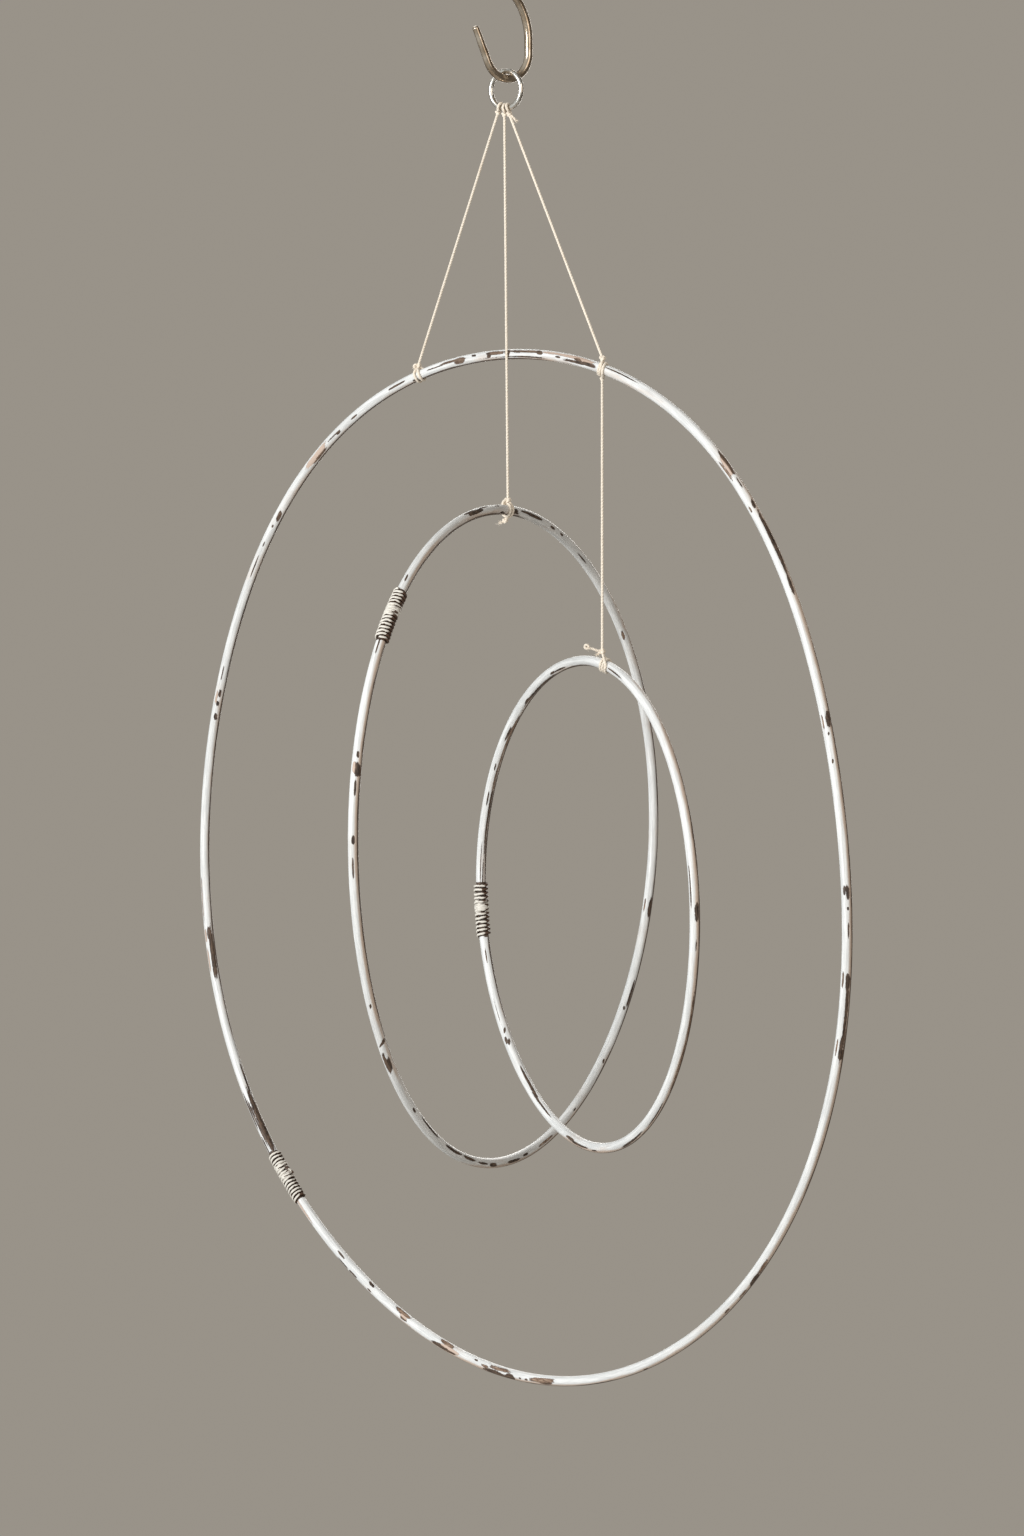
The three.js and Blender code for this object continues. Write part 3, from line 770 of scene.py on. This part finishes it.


# ---- the hoops ----

# Chips in the paint, and a few painted shade lines and shadows among them: the angle round the hoop, the
# place across the rod as seen from the front (-1 at the hoop's inner edge, 1 at its outer edge), length,
# width, and how bare it is (-0.6 pale primer, 0 undercoat, 1 dark metal).
CHIPS = {
    "outer": [
        (69.8, 0.4, 28, 0.8, 0.95), (75.8, -0.25, 9, 1.7, 0.9), (78.5, -0.35, 18, 1.6, 0.9),
        (80.5, 0.6, 38, 2.4, -0.4), (77.9, 0.3, 6, 1.4, 0.5), (81.3, -0.05, 5, 1.2, 1.0),
        (86.6, 0.5, 26, 1.5, 0.5), (84.5, 0.45, 5, 2.6, 0.6), (88.4, 0.5, 7, 1.7, 0.7),
        # (88.6, ...) is a painted shade line along the rod's inner edge, not a chip
        # (90.1, ...) is a painted shadow of the middle string across the rod
        (88.6, -0.55, 50, 1.1, 0.95), (90.1, 0.0, 4.5, 5.4, 0.75), (92.2, 0.4, 13, 2.2, 0.45),
        (93.4, 0.1, 3, 3.4, 0.9), (96.1, 0.6, 3, 1.2, 0.95), (98.8, 0.25, 8, 3.2, 0.5),
        (100.6, 0.5, 20, 1.5, 0.5), (103.6, 0.3, 16, 0.9, 0.95), (107.0, -0.5, 6, 1.4, 0.95),
        (110.5, 0.3, 12, 0.9, 0.95), (119.2, 0.1, 5, 0.9, 0.8), (122.7, -0.1, 3.4, 1.4, 0.9),
        (124.0, 0.2, 14, 0.8, 0.9), (127.2, 0.25, 21, 4.0, -0.6), (127.0, -0.4, 16, 1.7, 0.5),
        (137.7, -0.05, 8, 2.6, 0.5), (139.4, 0.15, 2.4, 1.3, 0.95), (142.1, 0.2, 5, 0.9, 0.9),
        (145.0, 0.2, 14, 0.8, 0.9), (159.5, 0.25, 12, 1.1, 0.95), (162.0, -0.1, 8, 2.2, 0.95),
        (163.3, -0.05, 4, 2.2, 0.95), (162.6, 0.5, 9, 1.8, -0.4), (164.9, -0.05, 4.5, 2.2, 0.9),
        (187.0, 0.85, 26, 1.0, 0.1), (191.0, 0.1, 7, 2.0, 0.9), (191.1, 0.8, 7, 1.7, -0.4),
        (194.2, 0.8, 12, 1.5, -0.4), (193.4, -0.35, 29, 2.5, 0.6), (194.0, 0.05, 26, 0.9, 1.0),
        (215.2, -0.55, 50, 3.0, 0.9), (217.6, -0.2, 24, 2.4, 0.85), (209.5, -0.75, 22, 1.5, 0.85),
        (212.8, 0.8, 24, 1.2, 0.95), (218.2, 0.85, 14, 1.6, 0.95), (215.5, 0.4, 34, 0.7, 0.9),
        (228.6, 0.8, 24, 2.2, -0.6), (236.6, -0.1, 7, 1.2, 0.6), (237.4, 0.85, 10, 1.2, 0.9),
        (239.7, 0.85, 7, 1.6, 0.6), (243.2, 0.7, 5, 1.6, 0.5), (243.2, -0.6, 5, 1.7, 0.9),
        (250.3, 0.35, 9, 1.8, 0.6), (250.2, -0.6, 13, 2.4, 0.3), (250.2, -0.1, 9, 1.8, -0.6),
        (258.4, 0.45, 21, 2.0, 0.6), (259.4, 0.05, 17, 1.6, -0.6), (258.7, -0.75, 10, 2.2, 0.4),
        (264.2, -0.5, 3, 1.2, 0.7), (266.9, 0.4, 21, 2.4, 0.65), (265.7, -0.05, 8, 2.2, 0.35),
        (268.6, -0.55, 20, 2.7, 0.3), (270.3, 0.2, 7, 3.2, 0.6), (272.1, 0.15, 2, 1.1, 0.9),
        (273.2, 0.15, 2.2, 1.1, 0.9), (276.2, -0.2, 19, 2.8, 0.2), (276.8, 0.4, 9, 1.6, 0.6),
        (285.0, 0.85, 40, 1.3, 0.95), (294.0, 0.75, 4, 1.6, 0.8), (309.3, 0.4, 5, 1.6, 0.5),
        (312.4, 0.45, 11, 1.7, 0.35), (314.9, 0.5, 10, 2.4, 0.8), (316.8, 0.4, 10, 1.7, 0.2),
        (343.2, 0.45, 4.5, 2.7, 0.95), (344.2, 0.15, 8, 1.3, 0.85), (343.7, -0.6, 9, 1.0, 0.35),
        (347.4, 0.45, 34, 2.1, 0.85), (350.8, 0.4, 8, 2.5, 0.95), (350.8, -0.65, 8, 1.0, 0.5),
        (356.4, 0.2, 8, 0.9, 0.95), (358.6, 0.2, 2.4, 1.5, 0.95), (0.2, 0.3, 7.5, 2.2, 0.95),
        (0.5, -0.45, 4.5, 1.4, 0.7), (14.5, -0.1, 2, 1.0, 0.8), (17.5, 0.0, 2, 1.0, 0.8),
        (19.0, 0.4, 9, 2.6, 0.9), (18.9, -0.65, 7, 1.0, 0.35), (34.2, 0.45, 14, 2.6, 0.95),
        (39.2, 0.6, 42, 2.1, 0.9), (44.6, 0.5, 5.5, 2.5, 0.75), (44.5, -0.5, 5, 1.3, 0.45),
        (47.6, 0.4, 9, 1.0, 0.9), (50.4, 0.6, 15, 1.8, 0.55), (50.4, 0.05, 15, 1.8, -0.6),
        (50.4, -0.5, 14, 1.3, 0.4),
    ],
    "middle": [
        (36.6, -0.1, 7, 2.2, 0.4), (59.5, 0.1, 14, 0.9, 0.75), (68.5, 0.4, 4, 1.2, 0.8),
        (72.3, 0.3, 5, 1.2, 0.8), (79.6, 0.28, 15, 1.5, 1.0), (82.8, 0.38, 14, 1.1, 1.0),
        # (92.4, ...) is a painted shadow below the middle tie
        (87.4, 0.0, 7, 2.8, 0.85), (92.4, -0.6, 6, 1.6, 0.95), (94.2, 0.7, 6, 1.0, 0.85),
        (99.3, 0.75, 10, 1.0, 0.85), (102.4, 0.25, 13, 1.9, 0.75), (104.8, 0.7, 8, 0.9, 0.8),
        (129.5, 0.4, 4.5, 1.1, 0.7), (143.8, 0.4, 10, 0.9, 0.95), (163.1, -0.05, 3.4, 1.6, 0.95),
        (165.6, -0.4, 6.5, 3.5, 1.0), (165.5, 0.55, 6, 2.2, -0.4), (168.8, -0.1, 7, 1.0, 0.9),
        (177.6, 0.0, 4.5, 2.0, 0.75), (182.3, 0.1, 9, 0.8, 0.8), (207.3, 0.15, 2.4, 1.2, 0.8),
        (215.1, 0.1, 2.4, 5.6, 0.55), (218.1, 0.6, 14, 2.8, 0.85), (219.8, 0.15, 9, 3.2, 0.85),
        (232.2, -0.4, 4.5, 1.5, 0.95), (238.5, -0.75, 28, 1.4, 0.9), (248.8, -0.55, 18, 1.5, 1.0),
        (255.4, -0.4, 14, 1.6, 1.0), (260.3, -0.15, 13, 1.5, 1.0), (264.2, 0.15, 8, 2.8, 0.95),
        (272.2, 0.25, 14, 1.6, 0.9), (276.7, 0.0, 7, 1.6, 0.9), (284.2, 0.2, 14, 1.1, 0.3),
        (297.0, 0.3, 4, 1.1, 0.7), (311.0, 0.3, 2.4, 1.1, 0.8), (323.3, 0.1, 2.4, 1.3, 0.9),
        (326.8, 0.55, 17, 1.4, 0.7), (343.4, 0.45, 12, 2.4, 0.9), (343.6, -0.6, 8, 1.1, 0.35),
    ],
    "small": [
        (1.4, 0.4, 8, 2.2, 0.7), (9.0, -0.7, 20, 0.8, 0.8), (74.0, -0.4, 24, 1.2, 0.8),
        # (118.0, ...), (140.0, ...) and (165.0, ...) are a long dark brown line along the rod's lower side:
        # painted shade and rust-brown staining
        (104.5, -0.3, 15, 1.0, 0.85), (108.5, -0.1, 5.5, 1.3, 0.95), (118.0, -0.6, 42, 1.5, 0.75),
        (124.5, -0.3, 5.5, 1.3, 0.95), (140.0, -0.6, 62, 1.4, 0.35), (138.0, -0.1, 12, 0.8, 0.8),
        (149.0, 0.1, 5, 1.0, 0.9), (158.0, 0.1, 7, 0.8, 0.8), (165.0, -0.55, 40, 1.3, 0.65),
        (173.0, 0.1, 24, 0.6, 0.6), (176.0, -0.4, 16, 0.8, 0.6), (197.0, 0.1, 7, 0.6, 0.5),
        (210.0, 0.3, 24, 0.6, 0.6), (217.5, -0.05, 2.6, 1.6, 0.8), (219.9, 0.35, 4, 1.5, 0.95),
        (221.2, -0.1, 4.5, 1.8, 0.7), (236.0, -0.4, 24, 1.1, 0.95), (247.0, -0.25, 32, 1.2, 0.9),
        (261.6, 0.15, 7, 1.3, 0.95), (268.0, 0.3, 22, 1.6, 1.0), (274.5, 0.35, 9, 1.8, 0.9),
        (296.0, 0.35, 22, 1.3, 0.9), (308.0, 0.45, 28, 0.9, 0.75), (332.0, 0.7, 60, 1.3, 0.35),
        (354.0, 0.3, 7, 0.8, 0.7),
    ],
}
CHIP_DEPTH = 0.13 * MM
CHIP_SQUARENESS = 3  # 2 would make each chip an oval
CHIP_PEAK = 1.02  # the chip value in its middle, before its unevenness
CHIP_FALL = 0.5  # how much it has fallen at its edge
CHIP_RAGGED = 0.13
CHIP_REACH = 2.2  # in half lengths and half widths
CHIP_EDGE = 0.45  # the chip value at which the surface starts to sink
CHIP_SLOPE = 0.1  # how far above that value it is at full depth
UNDER_WIRE = 0.95  # the chip value all along a binding
ROUGH_SIZES = (5.0, 2.5, 1.3)  # millimetres
# From the start of each solid binding to its wire's first turn.
LATE = {"outer": 2.4 * MM, "middle": 1.2 * MM, "small": 0}
SHADE_AND_GRIME_WAY = np.array([0.80, 0.0, -0.72])  # painted shade and dirt on the edge that faces low and right, away from the light
SHADE_AND_GRIME_GAIN = 1.5
SHADE_AND_GRIME_FADE = 0.12  # how far behind the rod's edge the painted shade and dirt fade out, as a share of its radius


def rough_field(points, seed):
    """Smooth repeatable unevenness between about -1 and 1 over straight-rod coordinates."""
    rng = np.random.default_rng(seed)
    total = np.zeros(len(points))
    for size in ROUGH_SIZES:
        for _ in range(3):
            lean = rng.normal(size=3) / (size * MM) * np.array([0.22, 1.0, 1.0])
            total += np.sin(points @ lean * 2 + rng.uniform(0, TURN)) * size**0.6 / 5
    return total


def away_from(hoop, points):
    """The direction from the middle of the rod to each point."""
    away = points - hoop.rod(np.degrees(hoop.place(points)[0]))[0]
    return away / (np.linalg.norm(away, axis=1)[:, None] + TINY)


def shaded_grimy_edge(hoop, points):
    """How close each point is to the rod's lower or right-hand edge, where shade is painted with dirt and
    rust: 1 at it.
    """
    _middle, out, side = hoop.rod(np.degrees(hoop.place(points)[0]))
    run = np.cross(out, side)
    front = np.array([0, -1.0, 0]) + run * run[:, 1:2]
    front /= np.linalg.norm(front, axis=1)[:, None]
    edge = np.cross(run, front)
    # the shade is painted on the edge that faces low and right, away from the light, as the rod is seen from
    # the front
    shade_facing = edge @ SHADE_AND_GRIME_WAY
    edge *= np.sign(shade_facing)[:, None]
    away = away_from(hoop, points)
    in_front = np.clip(1 + (away * front).sum(1) / SHADE_AND_GRIME_FADE, 0, 1)
    share = np.clip(np.abs(shade_facing) * SHADE_AND_GRIME_GAIN, 0, 1) * in_front
    return np.clip((away * edge).sum(1), 0, 1) * share


def chip_paint(piece, size):
    """Gives the rod its straight coordinates, its chips and its painted shade and grime, and sinks the
    chipped places a little.
    """
    hoop = HOOPS[size]
    mesh = piece.data
    points = points_of(mesh)
    straight = hoop.straight(points)
    around = np.arctan2(straight[:, 2], straight[:, 1])
    degrees = np.degrees(straight[:, 0] / hoop.radius + hoop.joint)
    in_plane = points - np.array([0, 1.0, 0]) * (straight[:, 2] / hoop.side[1])[:, None]
    seen_at = np.degrees(hoop.place(in_plane)[0])
    uneven = rough_field(straight, len(size))
    chip = np.zeros(len(points))
    bare = np.zeros(len(points))
    for at, across, length, width, metal in CHIPS[size]:
        front = math.atan2(-hoop.side[1], -hoop.across[1] * math.cos(math.radians(at)))
        place = front + math.asin(across)
        along = ((seen_at - at + 180) % 360 - 180) * math.radians(1) * hoop.radius
        over = ((around - place + math.pi) % TURN - math.pi) * ROD / 2
        lengths = np.abs(along / (length * MM / 2)) ** CHIP_SQUARENESS
        widths = np.abs(over / (width * MM / 2)) ** CHIP_SQUARENESS
        far = (lengths + widths) ** (1 / CHIP_SQUARENESS)
        inside = np.clip(CHIP_PEAK - CHIP_FALL * far + CHIP_RAGGED * uneven, 0, 1) * (far < CHIP_REACH)
        bare = np.where(inside > chip, metal, bare)
        chip = np.maximum(chip, inside)
    first = hoop.bound[0] + hoop.degrees(LATE[size])
    along = (degrees - first) % 360 / (hoop.bound[1] - first)
    chip = np.where(along < 1, UNDER_WIRE, chip)
    bare = np.where(along < 1, 1.0, bare)
    sunk = np.clip((chip - CHIP_EDGE) / CHIP_SLOPE, 0, 1)
    middle, _out, _side = hoop.rod(degrees)
    inward = middle - points
    inward /= np.linalg.norm(inward, axis=1)[:, None] + TINY
    points = points + inward * (sunk * CHIP_DEPTH)[:, None]
    mesh.vertices.foreach_set("co", points.ravel())
    put(mesh, "straight", straight)
    put(mesh, "chip", chip)
    put(mesh, "bare", bare)
    # painted shade and grime along the rod's lower/right edge
    lee = shaded_grimy_edge(hoop, points)
    # the warm tint: painted shade and staining, strongest where the shaded edge lies on the hoop's outer side
    outside = (away_from(hoop, points) * hoop.rod(degrees)[1]).sum(1)
    put(mesh, "lee", lee)
    put(mesh, "rain", lee * (0.35 + 0.65 * np.clip(outside * 2, 0, 1)))
    mesh.update()


for size in SIZES:
    hoop = HOOPS[size]
    start = math.degrees(hoop.joint) + hoop.degrees(GAP)
    steps = round(TURN * hoop.radius / ROD_STEP)
    angles = np.linspace(start, start + 360 - 2 * hoop.degrees(GAP), steps)
    rod = grow(size + "_rod", BAR, lines(hoop.rod(angles)[0]), PAINT, Radius=ROD / 2, Sides=ROD_SIDES)
    chip_paint(rod, size)
    keep(rod, "white_paint", size + "_hoop")


# ---- the bindings ----

WIRE_TURNS = {"outer": 15, "middle": 15, "small": 13}
BOUND_POINTS = 160
# The middle of the paint packed between each binding's turns, as an angle round its hoop, and its length.
PACKED = {"outer": (222.4, 20 * MM), "middle": (136.6, 13 * MM), "small": (184.8, 12 * MM)}
PACKED_STEP = 0.35 * MM
PACKED_RISE = 1.1 * MM
PACKED_ABOVE = 2.9 * MM  # only what lies further than this from the rod's middle is raised
PACKED_CROWN = 0.9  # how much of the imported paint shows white
WIRE_END_CROWN = 0.72

for size, turns in WIRE_TURNS.items():
    hoop = HOOPS[size]
    low, high = hoop.bound
    trim = hoop.degrees(BINDING_WIRE)
    angles = np.linspace(low + trim + hoop.degrees(LATE[size]), high - trim, BOUND_POINTS)
    middle, out, side = hoop.rod(angles)
    wire = grow(size + "_wound_wire", COIL, lines(middle, out=out, side=side), CLOGGED, Turns=float(turns),
                Reach=BINDING_REACH, Wire_radius=BINDING_WIRE, Steps_a_turn=20, Unevenness=1.5 * MM,
                Seed=float(len(size)))
    points = points_of(wire.data)
    straight = hoop.straight(points)
    height = (np.hypot(straight[:, 1], straight[:, 2]) - BINDING_REACH) / BINDING_WIRE
    put(wire.data, "crown", np.clip(0.5 + height / 2, 0, 1))
    # painted shade and dirt along the binding's lower/right edge
    put(wire.data, "lee", shaded_grimy_edge(hoop, points))
    keep(wire, "white_paint", size + "_binding")


def coat(mesh, crown):
    """The same share of paint all over, and no painted shade or dirt."""
    put(mesh, "crown", np.full(len(mesh.vertices), crown))
    put(mesh, "lee", np.zeros(len(mesh.vertices)))


def fill_between_turns(size, at, length):
    """Lumps of paint that sit between the turns of a binding."""
    hoop = HOOPS[size]
    half = hoop.degrees(length) / 2
    angles = np.linspace(at - half, at + half, round(length / PACKED_STEP))
    swell = 1 - np.linspace(-1, 1, len(angles)) ** 4
    lumps = grow(size + "_packed_paint", BAR, lines(hoop.rod(angles)[0], girth=0.55 + 0.5 * swell), CLOGGED,
                 Radius=ROD / 2, Sides=ROD_SIDES)
    mesh = lumps.data
    points = points_of(mesh)
    away = away_from(hoop, points)
    lump = rough_field(hoop.straight(points) * np.array([4.5, 1, 1]), 11)
    reach = np.linalg.norm(points - hoop.rod(np.degrees(hoop.place(points)[0]))[0], axis=1)
    rise = np.clip(0.85 + lump, -0.6, 1.2) * PACKED_RISE * (reach > PACKED_ABOVE)
    mesh.vertices.foreach_set("co", (points + away * rise[:, None]).ravel())
    coat(mesh, PACKED_CROWN)
    mesh.update()
    keep(lumps, "white_paint", size + "_binding")


for size, (at, length) in PACKED.items():
    fill_between_turns(size, at, length)


def wire_end():
    """The end of the outer binding's wire, standing a little off the turns."""
    hoop = HOOPS["outer"]
    # the angle round the hoop, the height off the turns and the angle round the rod
    rise = ((222.3, 0, 185), (222.6, 0.2 * MM, 165), (222.9, 0.7 * MM, 151), (223.2, 1.4 * MM, 142))
    line = smooth_line([hoop.around(at, BINDING_REACH + off, turn) for at, off, turn in rise], 0.3 * MM)
    girth = 1 - 0.45 * np.linspace(0, 1, len(line)) ** 6
    nub = grow("outer_wire_end", BAR, lines(line, girth=girth), CLOGGED, Radius=BINDING_WIRE, Sides=12)
    coat(nub.data, WIRE_END_CROWN)
    keep(nub, "white_paint", "outer_binding")


wire_end()


# ---- the hook and the ring ----

HOOK_ROUNDED = 1.1 * MM  # length of the rounding at each tip
HOOK_TAPER = 36 * MM  # length of the taper to each tip
HOOK_THINNED = 0.2  # how much thinner the wire is at its tips


def hook_line():
    """The hook's wire from tip to tip: each half is a straight tip, a bend, an upright and a leaning limb."""
    lean_end = math.acos(1 - (HOOK_BEND + HOOK_ASIDE / 2) / HOOK_LIMB)
    middle = np.array([HOOK_ASIDE / 2, HOOK_BEND + HOOK_UPRIGHT + HOOK_LIMB * math.sin(lean_end)])
    bend_middle = np.array([HOOK_ASIDE, HOOK_BEND])
    end = math.radians(-HOOK_BEND_END)
    bend_start = bend_middle + HOOK_BEND * np.array([math.cos(end), math.sin(end)])
    tip = bend_start + HOOK_TIP * np.array([math.sin(end), -math.cos(end)])
    half = [tip + (bend_start - tip) * share for share in np.linspace(0, 1, 30, endpoint=False)]
    half += [bend_middle + HOOK_BEND * np.array([math.cos(a), math.sin(a)]) for a in np.linspace(end, 0, 60)]
    half += [np.array([HOOK_ASIDE + HOOK_BEND - HOOK_LIMB * (1 - math.cos(lean)),
                       HOOK_BEND + HOOK_UPRIGHT + HOOK_LIMB * math.sin(lean)])
             for lean in np.linspace(0, lean_end, 40)]
    other = [2 * middle - point for point in half[-2::-1]]
    flat = np.array(half + other)
    bottom = HOOK_WIRE / 2 - 2 * middle[1]
    turn = math.radians(HOOK_TURN)
    return np.stack([flat[:, 0] * math.cos(turn), flat[:, 0] * math.sin(turn), flat[:, 1] + bottom], -1)


def hook_girth(line):
    """How thick the wire is at each point of its line, as a share: rounded and tapered at its tips."""
    reached = distances(line)
    to_end = np.minimum(reached, reached[-1] - reached)
    rounded = np.sqrt(np.clip(1 - (1 - np.clip(to_end / HOOK_ROUNDED, 0, 1)) ** 2 * 0.6, 0, 1))
    tapered = np.clip(to_end / HOOK_TAPER, 0, 1) ** 0.7
    return rounded * (1 - HOOK_THINNED + HOOK_THINNED * tapered)


line = smooth_line(hook_line(), 0.5 * MM)
hook = grow("hook_wire", BAR, lines(line, girth=hook_girth(line)), HOOK_STEEL, Radius=HOOK_WIRE / 2, Sides=32)
keep(hook, "hook_steel", "s_hook")

ring_line = np.array([RING.around(angle, 0, 0) for angle in np.linspace(0, 360, 180, endpoint=False)])
ring = grow("ring_wire", BAR, lines(ring_line, closed=True), RING_STEEL, Radius=RING_WIRE / 2, Sides=24)
keep(ring, "ring_steel", "hanging_ring")


# ---- floor, air and lights ----

WINDOW_WAY = Vector((-0.70, -0.62, 0.22)).normalized()
FILL_WAY = Vector((0.55, -0.80, 0.25)).normalized()
BACK_WAY = Vector((0.15, 0.97, 0.20)).normalized()
LIGHT_AWAY = 3
# Each light: the way to it from the mobile, its two sides, its power and its colour.
LIGHTS = {
    "window": (WINDOW_WAY, (1.0, 1.4), 68, (1.0, 1.0, 1.0)),
    "fill": (FILL_WAY, (1.6, 2.0), 19, (1.0, 0.90, 0.80)),
    "back": (BACK_WAY, (1.6, 2.0), 30, (1.0, 0.97, 0.93)),
}
FLOOR_RADIUS = 2.0
FLOOR_BELOW = 1.5


def make_room():
    """A plain pale floor well below, and soft air that is bright on the left and dim on the right."""
    material, recipe, shader = new_finish("pale_floor", Roughness=0.9)
    where = recipe.add("ShaderNodeTexCoord").outputs["Object"]
    shade = recipe.noise(where, 3.0, 3.0, 0.5)
    recipe.plug(shader, "Base Color", recipe.mix(shade, (0.52, 0.49, 0.45, 1), (0.56, 0.53, 0.49, 1)))
    bpy.ops.mesh.primitive_circle_add(vertices=96, radius=FLOOR_RADIUS, fill_type="NGON",
                                      location=(0, 0, cad_low.z - FLOOR_BELOW))
    floor = bpy.context.object
    floor.name = "floor"
    floor.data.materials.append(material)
    floor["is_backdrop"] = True
    world = bpy.data.worlds.new("air")
    world.use_nodes = True
    bpy.context.scene.world = world
    recipe = Recipe(world.node_tree)
    ways = recipe.add("ShaderNodeTexCoord").outputs["Generated"]
    facing = recipe.vectors("DOT_PRODUCT", ways, tuple(WINDOW_WAY)).outputs["Value"]
    light = recipe.mix(recipe.step(facing, -0.3, 0.85), (0.15, 0.135, 0.115, 1), (0.62, 0.64, 0.63, 1))
    seen = recipe.add("ShaderNodeLightPath").outputs["Is Camera Ray"]
    shown = recipe.mix(seen, light, (0.318, 0.290, 0.250, 1))
    recipe.plug(world.node_tree.nodes["Background"], "Color", shown)


def add_light(name, aim, way, size, power, colour):
    """A soft rectangular light that faces the point it is aimed at."""
    place = aim + way * LIGHT_AWAY
    data = bpy.data.lights.new(name, "AREA")
    data.shape = "RECTANGLE"
    data.size, data.size_y = size
    data.energy = power
    data.color = colour
    light = bpy.data.objects.new(name, data)
    light.location = place
    light.visible_camera = False
    light.rotation_euler = (aim - place).to_track_quat("-Z", "Y").to_euler()
    bpy.context.collection.objects.link(light)


make_room()
heart = (cad_low + cad_high) / 2
for light_name, light in LIGHTS.items():
    add_light(light_name, heart, *light)
bpy.context.scene.view_settings.view_transform = "Standard"

low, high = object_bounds()
